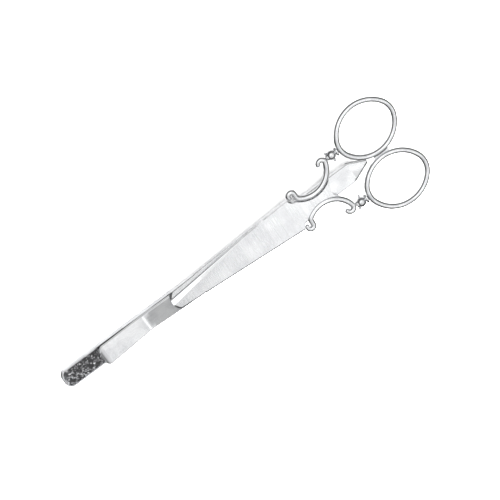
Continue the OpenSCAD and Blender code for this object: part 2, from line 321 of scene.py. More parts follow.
def drawn_rod(name: str, points: list[Vector], radii: list[float], roundness: int) -> bpy.types.Object:
    """Sweeps a round rod along a line.

    Args:
        name: the piece's name.
        points: the middle of the rod.
        radii: its radius at each point.
        roundness: bevel resolution of the section.

    Returns:
        A closed rod.
    """
    rod = traced_line(name, points)
    make_active(rod)
    bpy.ops.object.convert(target="CURVE")
    rod = bpy.context.object
    rod.data.dimensions = "3D"
    rod.data.bevel_depth = max(radii)
    rod.data.bevel_resolution = roundness
    rod.data.use_fill_caps = True
    spline = rod.data.splines[0]
    if (spline.points[0].co.to_3d() - points[0]).length > (spline.points[-1].co.to_3d() - points[0]).length:
        radii = radii[::-1]
    for point, radius in zip(spline.points, radii):
        point.radius = radius / max(radii)
    bpy.ops.object.convert(target="MESH")
    rod = bpy.context.object
    with shaping(rod):
        bpy.ops.mesh.remove_doubles(threshold=MERGE_WITHIN)
    return rod


def lathed(name: str, profile: list[tuple[float, float]], steps: int) -> bpy.types.Object:
    """Turns a profile about the X axis.

    Args:
        name: the piece's name.
        profile: the distance along X and the radius at each corner, both ends on the axis.
        steps: faces round the piece.

    Returns:
        A closed turned solid.
    """
    piece = traced_line(name, [Vector((x, r, 0)) for x, r in profile])
    with shaping(piece):
        bpy.ops.mesh.spin(steps=steps, angle=math.tau, center=(0, 0, 0), axis=(1, 0, 0))
        bpy.ops.mesh.select_all(action="SELECT")
        bpy.ops.mesh.remove_doubles(threshold=MERGE_WITHIN)
    return piece


def mirrored(piece: bpy.types.Object, name: str) -> bpy.types.Object:
    """A copy of a piece on the other side of the clip, with its own mesh and its faces outwards."""
    make_active(piece)
    bpy.ops.object.duplicate()
    copy = bpy.context.object
    copy.name = name
    with shaping(copy):
        bpy.ops.transform.resize(value=(1, -1, 1), center_override=(0, 0, 0))
    return copy


def arc(centre: tuple[float, float], radius: float, begin: float, end: float, steps: int) -> list[Vector]:
    """Points along an arc in the clip's plane, without its first point, with angles in degrees."""
    angles = [math.radians(begin + (end - begin) * i / steps) for i in range(1, steps + 1)]
    return [
        Vector((centre[0] + radius * math.cos(a), centre[1] + radius * math.sin(a), 0)) for a in angles
    ]


# ---- where the pieces go ----


@dataclass(frozen=True)
class ClipAxes:
    """Carries the clip's own axes to the frame. The frame's joint, mount and bows say how the clip lies."""

    seat_x: float = 60.0

    def laid(self) -> Matrix:
        """Returns: the matrix from the clip's axes, in millimetres, to the frame, in metres."""
        record = frame["record"]
        back = next(m for m in record["mounts"] if m["name"] == "bar_back")["axis"]
        hinge = next(j for j in frame["joints"] if j["name"] == "lever_hinge")
        turn = Matrix.Rotation(-math.atan2(back[0], -back[2]), 4, "Y")
        shift = Vector(hinge["pos_m"]) - turn @ (Vector(PIVOT) * MM)
        return Matrix.Translation(shift) @ turn @ Matrix.Scale(MM, 4)

    def seated(self) -> Matrix:
        """Returns: the matrix for the scissors, which sit turned a little across the strip."""
        left, right = (sum(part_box(n), Vector()) / 2 for n in ("left_bow", "right_bow"))
        across = left - right
        turn = Matrix.Rotation(-math.atan2(across.x, across.y), 4, "Z")
        seat = Matrix.Translation((self.seat_x, 0, 0))
        return self.laid() @ seat @ turn @ seat.inverted()


AXES = ClipAxes()


def from_frame(name: str, node: str, placing: Matrix) -> bpy.types.Object:
    """Copies a CAD node into the clip's axes, merged and with flat faces made whole, ready to refine.

    Args:
        name: the copy's name.
        node: the CAD node.
        placing: the matrix that later lays the piece down again.

    Returns:
        The copy, in millimetres.
    """
    copy = bpy.data.objects.new(name, frame["nodes"][node].data.copy())
    bpy.context.scene.collection.objects.link(copy)
    copy.data.materials.clear()
    copy.data.transform(placing.inverted())
    with shaping(copy):
        bpy.ops.mesh.remove_doubles(threshold=MERGE_WITHIN)
        bpy.ops.mesh.dissolve_limited(angle_limit=math.radians(1.0))
    return copy


def settle(piece: bpy.types.Object, placing: Matrix, body: Body, slot: Slot, *stands_for: str) -> None:
    """Lays a finished piece down in the frame and hands it to its body.

    Args:
        piece: the piece, in millimetres in the clip's axes.
        placing: its way to the frame.
        body: the CAD body that it moves with.
        slot: the record's material slot; not used.
        stands_for: the CAD nodes that it replaces.
    """
    piece.data.transform(placing)
    make_active(piece)
    bpy.ops.object.shade_smooth_by_angle(angle=math.radians(SMOOTH_BELOW))
    apply_modifier(piece, "WEIGHTED_NORMAL", keep_sharp=True)
    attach(piece, body.value)
    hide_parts(*stands_for)
    LOG.info("%s: %d faces, rides on %s", piece.name, len(piece.data.polygons), body.value)


# ---- finishes ----


def linear(colour: str) -> tuple[float, float, float, float]:
    """Turns an sRGB hex colour to linear.

    Args:
        colour: such as "#C8C9CC".

    Returns:
        Red, green, blue and alpha.
    """
    parts = [int(colour[i : i + 2], 16) / 255 for i in (1, 3, 5)]
    return (*(c / 12.92 if c <= 0.04045 else ((c + 0.055) / 1.055) ** 2.4 for c in parts), 1.0)


def add_node(
    tree: bpy.types.NodeTree,
    kind: str,
    inputs: dict | None = None,
    links: dict | None = None,
    **settings: object,
) -> bpy.types.Node:
    """Adds a node.

    Args:
        tree: the material's or world's tree.
        kind: the node's type.
        inputs: the value of each named input.
        links: the output that feeds each named input.
        settings: the node's own properties.

    Returns:
        The node.
    """
    node = tree.nodes.new(kind)
    for key, value in settings.items():
        setattr(node, key, value)
    for key, value in (inputs or {}).items():
        node.inputs[key].default_value = value
    for key, output in (links or {}).items():
        tree.links.new(output, node.inputs[key])
    return node


def ramp(node: bpy.types.Node, stops: list[tuple[float, tuple]]) -> None:
    """Sets the stops of a colour ramp, each a place from 0 to 1 and a colour."""
    elements = node.color_ramp.elements
    while len(elements) > 1:
        elements.remove(elements[-1])
    elements[0].position, elements[0].color = stops[0]
    for place, colour in stops[1:]:
        elements.new(place).color = colour


def clip_coordinates(tree: bpy.types.NodeTree, pitch: float, grain: Grain) -> bpy.types.NodeSocket:
    """Object coordinates turned to the clip's axes.

    Args:
        tree: the material's tree.
        pitch: the pattern's real size, in millimetres.
        grain: the way that it is stretched.

    Returns:
        The vector output, in pitches.
    """
    place = add_node(tree, "ShaderNodeTexCoord")
    turn = AXES.laid().to_euler()
    level = add_node(
        tree, "ShaderNodeMapping", {"Rotation": (0, -turn.y, 0)}, {"Vector": place.outputs["Object"]}
    )
    scale = [s / (pitch * MM) for s in grain.value]
    stretch = add_node(tree, "ShaderNodeMapping", {"Scale": scale}, {"Vector": level.outputs["Vector"]})
    return stretch.outputs["Vector"]


@dataclass(frozen=True)
class PlatedMetal:
    """A metal finish: its tone, its gloss, and the marks that polishing, brushing and handling leave.

    Attributes:
        name: the material's name.
        tone: the metal's reflection colour.
        dull_tone: its colour where it is handled and slightly tarnished.
        roughness: the least and the greatest roughness.
        grain: the way that the brush or the buff ran.
        pitch: distance between brush lines, in millimetres.
        depth: height of the brush lines, in millimetres.
        wave: height of the slow waves that buffing leaves, in millimetres.
        wave_pitch: length of those waves, in millimetres.
    """

    name: str
    tone: str
    dull_tone: str
    roughness: tuple[float, float]
    grain: Grain
    pitch: float
    depth: float
    wave: float
    wave_pitch: float

    def material(self) -> bpy.types.Material:
        """Returns: the material, made once and then found by its name."""
        found = bpy.data.materials.get(self.name)
        if found:
            return found
        material = bpy.data.materials.new(self.name)
        material.use_nodes = True
        tree = material.node_tree
        shader = tree.nodes["Principled BSDF"]
        shader.inputs["Metallic"].default_value = 1.0
        lines = add_node(
            tree, "ShaderNodeTexNoise", {"Scale": 1.0, "Detail": 3.0, "Roughness": 0.6},
            {"Vector": clip_coordinates(tree, self.pitch, self.grain)},
        )
        clouds = add_node(
            tree, "ShaderNodeTexNoise", {"Scale": 1.0, "Detail": 2.0},
            {"Vector": clip_coordinates(tree, self.wave_pitch, Grain.NONE)},
        )
        handling = add_node(tree, "ShaderNodeValToRGB", links={"Fac": clouds.outputs["Fac"]})
        ramp(handling, [(0.35, linear(self.dull_tone)), (0.62, linear(self.tone))])
        low, high = self.roughness
        gloss = add_node(
            tree, "ShaderNodeMapRange",
            {"From Min": 0.3, "From Max": 0.7, "To Min": low, "To Max": high},
            {"Value": lines.outputs["Fac"]},
        )
        waves = add_node(
            tree, "ShaderNodeBump", {"Strength": 1.0, "Distance": self.wave * MM},
            {"Height": clouds.outputs["Fac"]},
        )
        brush = add_node(
            tree, "ShaderNodeBump", {"Strength": 1.0, "Distance": self.depth * MM},
            {"Height": lines.outputs["Fac"], "Normal": waves.outputs["Normal"]},
        )
        tree.links.new(handling.outputs["Color"], shader.inputs["Base Color"])
        tree.links.new(gloss.outputs["Result"], shader.inputs["Roughness"])
        tree.links.new(brush.outputs["Normal"], shader.inputs["Normal"])
        return material


# Rhodium-tone plating on a die-cast alloy, barrel polished: a mirror with the casting's slow waves.
MIRROR_PLATING = PlatedMetal(
    "barrel_polished_plating", "#EFF0F1", "#DFE0E2", (0.05, 0.13), Grain.NONE, 0.6, 0.0006, 0.004, 1.6
)
# Plated brass sheet, polished after it was bent: bright, with faint lines along the strip.
STRIP_PLATING = PlatedMetal(
    "polished_plated_sheet", "#E9EAEB", "#DADBDD", (0.12, 0.2), Grain.ALONG, 0.2, 0.0005, 0.003, 3.0
)
# The blades' faces are brushed across before plating: satin, with faint streaks over the blade.
BRUSHED_BLADE = PlatedMetal(
    "cross_brushed_plating", "#F1F2F3", "#E3E4E6", (0.2, 0.32), Grain.ACROSS, 0.35, 0.0010, 0.004, 4.0
)
# The cutting bevel and the blades' chamfers are ground and buffed: crisper mirrors than the face beside them.
GROUND_BEVEL = PlatedMetal(
    "buffed_ground_bevel", "#F4F5F6", "#ECEDEE", (0.08, 0.16), Grain.ACROSS, 0.25, 0.0004, 0.001, 3.0
)
# Plated channel of the lever: polished, a little duller than the strip.
BAR_PLATING = PlatedMetal(
    "polished_plated_channel", "#E4E5E7", "#D2D3D6", (0.1, 0.18), Grain.ALONG, 0.2, 0.0005, 0.003, 2.5
)
# Bright drawn steel of the pin, washers and sleeve: fine rings and a grey tone.
DRAWN_STEEL = PlatedMetal(
    "bright_drawn_steel", "#C9CACD", "#AEB0B4", (0.2, 0.34), Grain.NONE, 0.12, 0.0004, 0.001, 0.8
)
# Hard-drawn spring wire: darker, with the die's lines and an oil-dark film.
SPRING_WIRE = PlatedMetal(
    "hard_drawn_spring_wire", "#A9ACB1", "#83868C", (0.24, 0.4), Grain.NONE, 0.1, 0.0003, 0.001, 0.5
)


@dataclass(frozen=True)
class PebbledSheet:
    """Dark embossed gripping sheet, with painted shade that blackens its valleys and a painted highlight of bright
    metal on its pebble tops.
    """

    name: str = "embossed_grip_sheet"
    # The darkest tone is painted shade for the valleys, and the brightest tone is a painted highlight for the
    # pebble tops; the height ramp spreads them.
    valley_shade: str = "#0B0B0C"
    flank: str = "#2B2C2F"
    wear_and_highlight: str = "#E2E3E5"

    def material(self) -> bpy.types.Material:
        """Returns: the material, which reads the height that the sheet's mesh carries."""
        material = bpy.data.materials.new(self.name)
        material.use_nodes = True
        tree = material.node_tree
        shader = tree.nodes["Principled BSDF"]
        height = add_node(tree, "ShaderNodeAttribute", attribute_name="pebble_height")
        grit = add_node(
            tree, "ShaderNodeTexNoise", {"Scale": 1.0, "Detail": 4.0},
            {"Vector": clip_coordinates(tree, 0.25, Grain.NONE)},
        )
        mixed = add_node(
            tree, "ShaderNodeMath", {1: 0.35}, {0: grit.outputs["Fac"], 2: height.outputs["Fac"]},
            operation="MULTIPLY_ADD",
        )
        # Painted shade and highlight: by height, the valleys go near black and the pebble tops turn to bright,
        # glossy metal.
        tone = add_node(tree, "ShaderNodeValToRGB", links={"Fac": mixed.outputs["Value"]})
        ramp(tone, [(0.22, linear(self.valley_shade)), (0.32, linear(self.flank)), (0.42, linear(self.wear_and_highlight))])
        peak_highlight_mask = add_node(
            tree, "ShaderNodeMapRange", {"From Min": 0.33, "From Max": 0.42},
            {"Value": mixed.outputs["Value"]},
        )
        gloss = add_node(
            tree, "ShaderNodeMapRange", {"To Min": 0.42, "To Max": 0.2}, {"Value": peak_highlight_mask.outputs["Result"]}
        )
        tree.links.new(tone.outputs["Color"], shader.inputs["Base Color"])
        tree.links.new(peak_highlight_mask.outputs["Result"], shader.inputs["Metallic"])
        tree.links.new(gloss.outputs["Result"], shader.inputs["Roughness"])
        return material


@dataclass(frozen=True)
class PaintedFloor:
    """Matt pale studio floor."""

    name: str = "matt_pale_floor"
    tone: str = "#F5F5F5"

    def material(self) -> bpy.types.Material:
        """Returns: the material, with a faint unevenness in its sheen."""
        material = bpy.data.materials.new(self.name)
        material.use_nodes = True
        tree = material.node_tree
        shader = tree.nodes["Principled BSDF"]
        shader.inputs["Base Color"].default_value = linear(self.tone)
        place = add_node(tree, "ShaderNodeTexCoord")
        noise = add_node(
            tree, "ShaderNodeTexNoise", {"Scale": 40.0, "Detail": 3.0}, {"Vector": place.outputs["Object"]}
        )
        sheen = add_node(
            tree, "ShaderNodeMapRange", {"To Min": 0.75, "To Max": 0.9}, {"Value": noise.outputs["Fac"]}
        )
        tree.links.new(sheen.outputs["Result"], shader.inputs["Roughness"])
        return material


def dress(piece: bpy.types.Object, *finishes: PlatedMetal | PebbledSheet) -> None:
    """Puts a piece's finishes in its material slots, in order."""
    piece.data.materials.clear()
    for finish in finishes:
        piece.data.materials.append(finish.material())


# ---- the clip's pieces ----


def settle_handle(piece: bpy.types.Object, node: str) -> None:
    """Plates a piece of the handles and lays it down with the scissors."""
    dress(piece, MIRROR_PLATING)
    settle(piece, AXES.seated(), Body.FRONT, Slot.HANDLE, node)


def settle_pair(left: bpy.types.Object, right_name: str, node: str) -> None:
    """Lays down a left piece of the handles and its mirror image.

    Args:
        left: the left piece, in millimetres in the clip's axes.
        right_name: the name of its mirror image.
        node: the name of their CAD nodes without the side.
    """
    right = mirrored(left, right_name)
    settle_handle(left, f"left_{node}")
    settle_handle(right, f"right_{node}")


def between(x: float, points: list[tuple[float, float]]) -> float:
    """The height at x of a line through points, level beyond its ends."""
    if x <= points[0][0]:
        return points[0][1]
    for (x0, y0), (x1, y1) in zip(points, points[1:]):
        if x <= x1:
            return y0 + (y1 - y0) * (x - x0) / (x1 - x0)
    return points[-1][1]


def corner_cut(inside: float, reach: float, cut: float) -> float:
    """How far a rounded corner draws an edge in, at a distance inside the end; reach is its length."""
    return cut * max(1 - inside / reach, 0) ** 2


@dataclass
class FrontStrip:
    """The bent sheet strip: lead-in lip, stretch down to the bend, and level stretch with side flanges."""

    thickness: float = 0.6
    lip_x: float = 7.7
    lip_corner: float = 0.88
    lip_cut: float = 0.7
    lip_steps: int = 8
    curl_end: float = 8.75
    curl: float = 0.36
    lip_middle: float = 12.5
    bend_x: float = 17.9
    bend_z: float = -0.407
    bend_reach: float = 0.8
    bend_steps: int = 12
    fall: float = -0.124
    level_x: float = 23.4
    edge_round: float = 0.19
    end_chamfer: float = 0.42
    widths: tuple = ((8.6, 3.7), (17.9, 3.2), (29.4, 3.6), (61.8, 3.6), (65.2, 0.6))
    flange: tuple = (37.5, 61.4)
    flange_depth: float = 0.55
    flange_thick: float = 0.28
    flange_slope: float = 0.6
    flange_round: float = 0.05
    end_flange_short: float = 0.3
    end_flange_back: float = 0.2
    end_flange_out: float = 0.07

    def underside(self, x: float) -> float:
        """Height of the strip's underside at x."""
        rise = -self.bend_z / (self.level_x - self.bend_x)
        if x >= self.level_x:
            return 0.0
        if x > self.bend_x + self.bend_reach:
            return self.bend_z + rise * (x - self.bend_x)
        height = self.bend_z + self.fall * (x - self.bend_x)
        into_bend = max(x - self.bend_x + self.bend_reach, 0)
        height += (rise - self.fall) * into_bend**2 / (4 * self.bend_reach)
        lip = max(self.curl_end - x, 0) / (self.curl_end - self.lip_x)
        return height + self.curl * lip**2

    def width(self, x: float) -> float:
        """Width of the strip at x, rounded in plan at the lip."""
        full = between(x, list(self.widths))
        return full - 2 * corner_cut(x - self.lip_x, self.lip_corner, self.lip_cut)

    def stations(self) -> list[Station]:
        """Returns: the strip's sections, close together at the lip and in the bend."""
        lip = [self.lip_x + self.lip_corner * i / self.lip_steps for i in range(self.lip_steps + 1)]
        bend = [
            self.bend_x + self.bend_reach * (2 * i / self.bend_steps - 1) for i in range(self.bend_steps + 1)
        ]
        rest = [self.curl_end, self.lip_middle, self.level_x, *(x for x, _ in self.widths[-3:])]
        return [
            Station(x, self.underside(x), self.width(x), self.thickness)
            for x in sorted(lip + bend + rest)
        ]

    def side_flange(self, side: int) -> bpy.types.Object:
        """A fold under one edge of the level strip, with sloping ends; side is 1 or -1."""
        begin, end = self.flange
        full = self.width(begin)
        cube = start("flange", bpy.ops.mesh.primitive_cube_add, size=1)
        height = self.flange_depth + self.thickness / 2
        resize_all(
            cube, (end - begin, self.flange_thick, height),
            ((begin + end) / 2, side * (full - self.flange_thick) / 2, height / 2 - self.flange_depth),
        )
        with shaping(cube):
            for x, step in ((begin, self.flange_slope), (end, -self.flange_slope)):
                choose(cube, Pick.CORNERS, lambda co, n, x=x: abs(co.x - x) < NEAR and co.z < 0)
                bpy.ops.transform.translate(value=(step, 0, 0))
        return cube

    def end_flange(self, side: int) -> bpy.types.Object:
        """The fold under one side of the strip's pointed end; side is 1 or -1."""
        (begin, wide), (end, narrow) = self.widths[-2:]
        run, drop = end - begin, (wide - narrow) / 2
        height = self.flange_depth + self.thickness / 2
        cube = start("flange", bpy.ops.mesh.primitive_cube_add, size=1)
        length = math.hypot(run, drop) - self.end_flange_short
        resize_all(cube, (length, self.flange_thick, height), (0, 0, 0))
        middle = (wide + narrow) / 4 + self.end_flange_out - self.flange_thick / 2
        put(cube, -side * math.atan2(drop, run), (
            (begin + end) / 2 - self.end_flange_back, side * middle, height / 2 - self.flange_depth,
        ))
        return cube

    def build(self) -> None:
        """Makes the strip and lays it down."""
        strip = swept_plate("front_strip_sheet", self.stations())
        bevel_edges(
            strip, self.end_chamfer, 1,
            lambda co, d: co.x > self.flange[1] and co.z > self.thickness - NEAR and abs(d.z) < LEVEL
            and co.y < -self.flange_thick,
        )
        round_edges(strip, self.edge_round, segments=4, above=50)
        for side in (1, -1):
            for flange in (self.side_flange(side), self.end_flange(side)):
                round_edges(flange, self.flange_round, segments=2)
                add_part(strip, flange)
        dress(strip, STRIP_PLATING)
        settle(strip, AXES.laid(), Body.FRONT, Slot.STRIP, "front_strip")


@dataclass
class Blades:
    """The pair of closed scissor blades, front over back, with a ground bevel along the front one."""

    tip_x: float = 22.9
    tip_reach: float = 2.3
    tip_face: float = 0.9
    shoulder_x: float = 50.6
    shoulder_reach: tuple = (1.0, 0.1)
    waist_x: float = 56.9
    waist_half: float = 1.3
    flanks: tuple = ((22.9, 1.625), (50.6, 3.25))
    flank_share: float = 0.8
    tip_chamfer: float = 0.34
    plain_chamfer: float = 0.26
    ground_chamfer: float = 0.15
    waist_chamfer: float = 0.06
    under_round: float = 0.04
    least_wall: float = 0.1
    plate: float = 0.57
    bevel_tilt: tuple = (0.5, 0.975)
    front_top: float = 1.74
    back_top: float = 1.16

    def half_width(self, x: float) -> float:
        """Half the width of the blade between its tip and its shoulders."""
        (x0, w0), (x1, w1) = self.flanks
        return w0 + (w1 - w0) * (x - x0) / (x1 - x0)

    def chamfers(self, top: float) -> list[tuple[float, Callable[[Vector, Vector], bool]]]:
        """The chamfers round one blade, in the order that they are cut.

        Args:
            top: height of the blade's upper face.

        Returns:
            The reach of each chamfer and the test that picks its edges: the tip, the plain flank, the flank
            above the ground bevel, the bevel's outer edge, and the end over the strip.
        """
        tip_end = self.tip_x + self.tip_reach
        before, after = self.shoulder_reach

        def in_face(co: Vector, d: Vector) -> bool:
            """Whether an edge lies in the upper face."""
            return co.z > top - NEAR and abs(d.z) < LEVEL

        def at_tip(co: Vector, d: Vector) -> bool:
            """Whether an edge goes round the tip."""
            return in_face(co, d) and co.x < tip_end and (abs(d.y) > 0.5 or co.x < self.tip_x + self.tip_face)

        def on_flank(co: Vector, d: Vector) -> bool:
            """Whether an edge lies along a flank, up to the shoulder."""
            outer = abs(co.y) > self.flank_share * self.half_width(co.x) or co.x > self.shoulder_x - before
            return in_face(co, d) and tip_end < co.x < self.shoulder_x + after and outer

        def below_bevel(co: Vector, d: Vector) -> bool:
            """Whether an edge is the ground bevel's outer one."""
            along = co.y > 0 and tip_end < co.x < self.shoulder_x and abs(d.x) > 0.9
            return along and top - self.plate + self.least_wall < co.z < top - NEAR

        def over_strip(co: Vector, d: Vector) -> bool:
            """Whether an edge ends the blade over the strip."""
            return in_face(co, d) and co.x > self.waist_x and abs(co.y) < self.waist_half

        return [
            (self.tip_chamfer, at_tip),
            (self.plain_chamfer, lambda co, d: on_flank(co, d) and co.y < 0),
            (self.ground_chamfer, lambda co, d: on_flank(co, d) and co.y > 0),
            (self.ground_chamfer, below_bevel),
            (self.waist_chamfer, over_strip),
        ]

    def blade(self, name: str, node: str, top: float) -> None:
        """Refines one blade and lays it on the strip, with its ground faces on the second finish.

        Args:
            name: the piece's name.
            node: the CAD node that it stands for.
            top: height of its upper face.
        """
        blade = from_frame(name, node, AXES.seated())
        dress(blade, BRUSHED_BLADE, GROUND_BEVEL)
        for reach, test in self.chamfers(top):
            bevel_edges(blade, reach, 1, test)
        low, high = self.bevel_tilt
        for face in blade.data.polygons:
            face.material_index = 1 if low < face.normal.z < high else 0
        round_edges(blade, self.under_round, segments=2, above=60)
        settle(blade, AXES.seated(), Body.FRONT, Slot.BLADE, node)

    def build(self) -> None:
        """Makes both blades."""
        self.blade("back_blade_plate", "back_blade", self.back_top)
        self.blade("front_blade_plate", "front_blade", self.front_top)


@dataclass
class ScrollArms:
    """The two scrolled rods that run round the waist, each from an inner hook to an outer hook."""

    height: float = 1.12
    rod: float = 0.52
    thinning: float = 0.22
    waist_arc: tuple = ((54.2, 5.85), 4.7, -125, -15)
    neck: float = 0.9
    inner_hook: tuple = ((50.56, 3.3), 0.56, 215, 0)
    outer_hook: float = 0.7
    outer_turn: float = 165
    domes: tuple = (75, 55, 30)
    dome_tip: float = 0.04
    steps: tuple = (24, 10, 40, 24)
    roundness: int = 6

    def inside(self, angle: float, radius: float) -> tuple[float, float]:
        """Middle of a smaller arc that touches the waist arc from inside at an angle."""
        (x, y), full, _, _ = self.waist_arc
        a = math.radians(angle)
        return (x + (full - radius) * math.cos(a), y + (full - radius) * math.sin(a))

    def path(self) -> list[Vector]:
        """Returns: the middle of the left rod, in the scissors' plane."""
        _, _, begin, end = self.waist_arc
        hook, neck, waist, outer = self.steps
        return [
            *arc(*self.inner_hook, hook),
            *arc(self.inside(begin, self.neck), self.neck, 180, 360 + begin, neck),
            *arc(*self.waist_arc, waist),
            *arc(self.inside(end, self.outer_hook), self.outer_hook, end, self.outer_turn, outer),
        ]

    def build(self) -> None:
        """Makes the left rod with its domed ends, copies it to the right and lays both down."""
        path = self.path()
        last = len(path) - 1
        radii = [self.rod * (1 - self.thinning * abs(2 * i / last - 1) ** 6) for i in range(last + 1)]
        for at_end in (False, True):
            outer, inner = (path[-1], path[-2]) if at_end else (path[0], path[1])
            way = (outer - inner).normalized()
            radius = radii[-1] if at_end else radii[0]
            dome = [(outer + way * radius * math.cos(math.radians(a)), radius * math.sin(math.radians(a)))
                    for a in self.domes]
            tip = (outer + way * radius, radius * self.dome_tip)
            points, ends = zip(*dome, tip)
            path = [*path, *points] if at_end else [*points[::-1], *path]
            radii = [*radii, *ends] if at_end else [*ends[::-1], *radii]
        lift = Vector((0, 0, self.height))
        left = drawn_rod("left_scroll_rod", [p + lift for p in path], radii, self.roundness)
        settle_pair(left, "right_scroll_rod", "scroll_arm")


@dataclass
class Knops:
    """The turned knops between the arms and the bows: a collar, a ball and a disc."""

    place: tuple = (59.3, 5.15, 1.12)
    neck: float = 0.42
    collar: tuple = (0.08, 0.34, 0.6)
    ball: tuple = (1.0, 0.9)
    disc: tuple = (1.92, 2.26, 0.86)
    length: float = 2.3
    soft: float = 0.07
    steps: int = 40
    ball_steps: int = 16

    def profile(self) -> list[tuple[float, float]]:
        """Returns: the distance along the knop and the radius at each corner of its outline."""
        collar_in, collar_out, collar_r = self.collar
        ball_x, ball_r = self.ball
        disc_in, disc_out, disc_r = self.disc
        soft = self.soft
        meets = math.asin(self.neck / ball_r)
        turns = [
            math.pi - meets - (math.pi - 2 * meets) * i / self.ball_steps for i in range(self.ball_steps + 1)
        ]
        ball = [(ball_x + ball_r * math.cos(a), ball_r * math.sin(a)) for a in turns]
        return [
            (0, 0), (0, self.neck), (collar_in, self.neck), (collar_in, collar_r - soft),
            (collar_in + soft, collar_r), (collar_out - soft, collar_r), (collar_out, collar_r - soft),
            (collar_out, self.neck), *[p for p in ball if p[0] > collar_out],
            (disc_in, self.neck), (disc_in, disc_r - soft), (disc_in + soft, disc_r),
            (disc_out - soft, disc_r), (disc_out, disc_r - soft), (disc_out, self.neck),
            (self.length, self.neck), (self.length, 0),
        ]

    def build(self) -> None:
        """Turns the left knop, copies it to the right and lays both down with their beads."""
        left = lathed("left_turned_knop", self.profile(), self.steps)
        with shaping(left):
            bpy.ops.transform.translate(value=self.place)
        settle_pair(left, "right_turned_knop", "knop")
        settle_handle(from_frame("knop_bead_drops", "knop_beads", AXES.seated()), "knop_beads")


@dataclass
class Bows:
    """The two oval finger bows, each a closed rod of four arcs turned a little outwards, and their bridge."""

    centre: tuple = (67.9, 5.45, 1.12)
    half_long: float = 5.75
    half_wide: float = 4.85
    end_radius: float = 3.6
    band: float = 1.0
    height: float = 1.05
    tilt: float = 6.0
    sides: int = 24
    end_steps: int = 40
    side_steps: int = 44
    seam: float = 0.002

    def ring(self, name: str) -> bpy.types.Object:
        """Spins the band's section round two end arcs and two side arcs, and closes it."""
        reach = self.half_long - self.end_radius
        side = (reach**2 + self.half_wide**2 - self.end_radius**2) / (2 * (self.half_wide - self.end_radius))
        join = math.atan2(side - self.half_wide, reach)
        begin = Vector((reach + self.end_radius * math.cos(join), -self.end_radius * math.sin(join), 0))
        ring = start(
            name, bpy.ops.mesh.primitive_circle_add, vertices=self.sides, radius=self.band / 2,
            rotation=(math.pi / 2, 0, 0),
        )
        with shaping(ring):
            bpy.ops.transform.resize(value=(1, 1, self.height / self.band), center_override=(0, 0, 0))
        put(ring, -join, begin)
        side_middle = self.half_wide - side
        end_arc = (2 * join, self.end_steps)
        side_arc = (math.pi - 2 * join, self.side_steps)
        arcs = (
            (reach, 0, *end_arc), (0, side_middle, *side_arc),
            (-reach, 0, *end_arc), (0, -side_middle, *side_arc),
        )
        with shaping(ring):
            for x, y, angle, steps in arcs:
                bpy.ops.mesh.spin(steps=steps, angle=-angle, center=(x, y, 0), axis=(0, 0, 1))
            bpy.ops.mesh.select_all(action="SELECT")
            bpy.ops.mesh.remove_doubles(threshold=self.seam)
        put(ring, math.radians(self.tilt), self.centre)
        return ring

    def build(self) -> None:
        """Makes the left bow, copies it to the right, and lays both down with the bridge between them."""
        settle_pair(self.ring("left_finger_bow"), "right_finger_bow", "bow")
        settle_handle(from_frame("bow_bridge_web", "bow_bridge", AXES.seated()), "bow_bridge")


@dataclass
class Hinge:
    """The hinge under the strip: bracket, pin, washers, sleeve and spring, and the blades' rivets."""

    small_round: float = 0.035
    wire: float = 0.11
    coil_radius: float = 0.6
    coil_half: float = 0.49
    turns: float = 3.5
    steps_per_turn: int = 28
    smooth_below: float = 60
    upper_foot: tuple = (39.7, -0.14)
    lower_foot: tuple = (39.9, -2.165)

    def hardware(self) -> None:
        """Refines the small turned and folded pieces and lays them down."""
        pieces = (
            ("pivot_bracket", "folded_pivot_bracket", Body.FRONT, Slot.STRIP, STRIP_PLATING),
            ("blade_rivets", "blade_rivet_pair", Body.FRONT, Slot.STRIP, STRIP_PLATING),
            ("pivot_pin", "headed_pivot_pin", Body.FRONT, Slot.PIN, DRAWN_STEEL),
            ("pin_washers", "pin_washer_pair", Body.FRONT, Slot.PIN, DRAWN_STEEL),
            ("spring_sleeve", "spring_sleeve_tube", Body.LEVER, Slot.PIN, DRAWN_STEEL),
        )
        for node, name, body, slot, finish in pieces:
            piece = from_frame(name, node, AXES.laid())
            round_edges(piece, self.small_round, segments=2)
            dress(piece, finish)
            settle(piece, AXES.laid(), body, slot, node)

    def spring(self) -> None:
        """Winds the spring from its upper foot to its lower foot, lays it down in the frame and hides the CAD
        spring.
        """
        x, _, z = PIVOT
        total = round(self.turns * self.steps_per_turn)
        coil = []
        for i in range(total + 1):
            angle = math.pi / 2 + math.tau * self.turns * i / total
            coil.append(Vector((
                x + self.coil_radius * math.cos(angle),
                self.coil_half * (2 * i / total - 1),
                z + self.coil_radius * math.sin(angle),
            )))
        upper = Vector((self.upper_foot[0], -self.coil_half, self.upper_foot[1]))
        lower = Vector((self.lower_foot[0], self.coil_half, self.lower_foot[1]))
        path = [upper, *coil, lower]
        spring = drawn_rod("wound_torsion_spring", path, [self.wire] * len(path), 3)
        dress(spring, SPRING_WIRE)
        placing = AXES.laid()
        spring.data.transform(placing)
        make_active(spring)
        bpy.ops.object.shade_smooth_by_angle(angle=math.radians(self.smooth_below))
        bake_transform(spring)
        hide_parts("torsion_spring")
        LOG.info("%s: %d faces, turns between the bodies", spring.name, len(spring.data.polygons))

    def build(self) -> None:
        """Makes the hinge's pieces and its spring."""
        self.hardware()
        self.spring()


